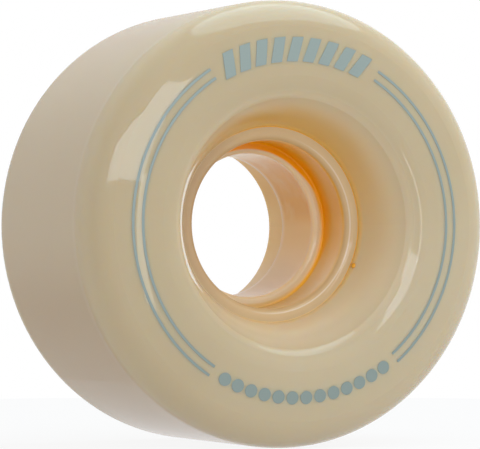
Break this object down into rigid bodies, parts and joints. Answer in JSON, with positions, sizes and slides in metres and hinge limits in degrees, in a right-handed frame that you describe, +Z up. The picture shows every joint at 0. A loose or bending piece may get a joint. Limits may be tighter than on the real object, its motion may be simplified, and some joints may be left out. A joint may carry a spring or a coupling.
{
  "type": "roller skate wheel",
  "caption": "Cast urethane roller skate wheel on a moulded core with open bearing seats, a dished printed face and a flat tread.",
  "frame": {"origin": "centre of the wheel, on its axle and midway between the back face and the crown of the printed face", "axes": "Y along the axle with the printed, dished face towards -Y; Z up through the middle of the printed bars; X to the right seen from the printed face"},
  "size_m": [0.058, 0.032, 0.058],
  "materials": {
    "urethane": "cream cast urethane, glossy moulded faces and a satin turned tread",
    "core_plastic": "translucent pinkish cream moulded plastic, smooth",
    "bonding_agent": "clear amber film",
    "ink": "pad-printed blue-grey ink, satin"
  },
  "bodies": {
    "root": {"tyre": "urethane", "core": "core_plastic", "bond_coat": "bonding_agent", "print_line_outer_left": "ink", "print_line_inner_left": "ink", "print_line_outer_right": "ink", "print_line_inner_right": "ink", "print_bars": "ink", "print_dots": "ink"}
  },
  "joints": []
}
